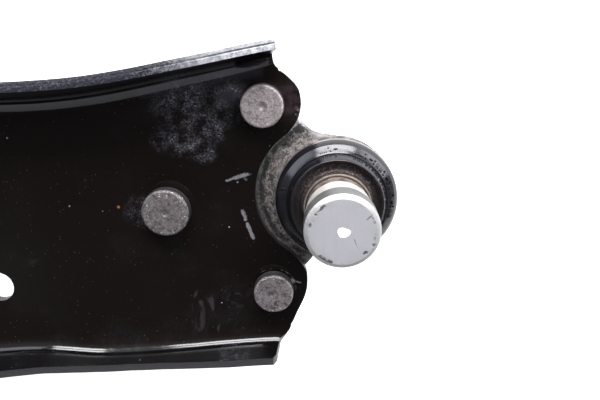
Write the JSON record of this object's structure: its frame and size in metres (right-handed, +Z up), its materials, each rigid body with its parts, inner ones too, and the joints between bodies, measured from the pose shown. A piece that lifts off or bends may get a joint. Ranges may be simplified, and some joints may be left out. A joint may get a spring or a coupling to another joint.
{
  "type": "control arm",
  "caption": "L-shaped pressed-steel front lower control arm with a riveted ball joint, dust boot, pinch-type stud and two rubber bushes.",
  "frame": {"origin": "ball joint axis at the flat underside of the joint housing", "axes": "+X outboard (away from the bushes), +Y towards the rear bush, +Z up along the stud"},
  "size_m": [0.3731, 0.3519, 0.0673],
  "materials": {
    "black_coat": "gloss black electro-coat with dust and scratches",
    "forged_steel": "bare rough forging",
    "plated_steel": "pale grey plated steel",
    "rivet_steel": "bare pressed rivet heads",
    "rubber": "matt black",
    "boot_rubber": "satin black",
    "ring_steel": "brown, light rust",
    "shell_plastic": "cream acetal",
    "weld_metal": "painted weld bead",
    "bush_metal": "satin bare metal"
  },
  "bodies": {
    "arm": {"arm_plate": "black_coat", "front_eye_tube": "black_coat", "front_weld_upper": "weld_metal", "front_weld_lower": "weld_metal", "front_bush_outer_sleeve": "bush_metal", "front_bush_rubber": "rubber", "rear_eye_collar": "black_coat", "rear_weld_upper": "weld_metal", "rear_weld_lower": "weld_metal", "rear_bush_outer_sleeve": "bush_metal", "rear_bush_rubber": "rubber", "ball_joint_housing": "forged_steel", "bearing_shell": "shell_plastic", "retaining_ring": "plated_steel", "rivet_rear": "rivet_steel", "rivet_front": "rivet_steel", "rivet_inner": "rivet_steel", "boot_lower_ring": "ring_steel"},
    "boot": {"dust_boot": "boot_rubber"},
    "boot_lip": {"boot_upper_ring": "ring_steel"},
    "stud": {"ball_stud": "plated_steel"},
    "front_sleeve": {"front_bush_inner_sleeve": "bush_metal"},
    "rear_sleeve": {"rear_bush_inner_sleeve": "bush_metal"}
  },
  "joints": [
    {"name": "ball_joint_azimuth", "type": "hinge", "parent": "arm", "child": "boot", "pos_m": [0, 0, 0.015], "axis": [0, 0, 1], "continuous": true},
    {"name": "ball_joint_tilt", "type": "hinge", "parent": "boot", "child": "boot_lip", "pos_m": [0, 0, 0.015], "axis": [1, 0, 0], "range_deg": [-18, 18], "stiffness_Nm_per_rad": 1, "deforming": ["dust_boot"]},
    {"name": "stud_spin", "type": "hinge", "parent": "boot_lip", "child": "stud", "pos_m": [0, 0, 0.015], "axis": [0, 0, 1], "continuous": true},
    {"name": "front_bush_twist", "type": "hinge", "parent": "arm", "child": "front_sleeve", "pos_m": [-0.32, -0.025, 0.021], "axis": [0, 1, 0], "range_deg": [-20, 20], "stiffness_Nm_per_rad": 2, "deforming": ["front_bush_rubber"]},
    {"name": "rear_bush_twist", "type": "hinge", "parent": "arm", "child": "rear_sleeve", "pos_m": [-0.32, 0.255, 0.021], "axis": [0, 1, 0], "range_deg": [-20, 20], "stiffness_Nm_per_rad": 2, "deforming": ["rear_bush_rubber"]}
  ],
  "couplings": [
    {"joint": "rear_bush_twist", "follows": "front_bush_twist", "ratio": 1}
  ]
}
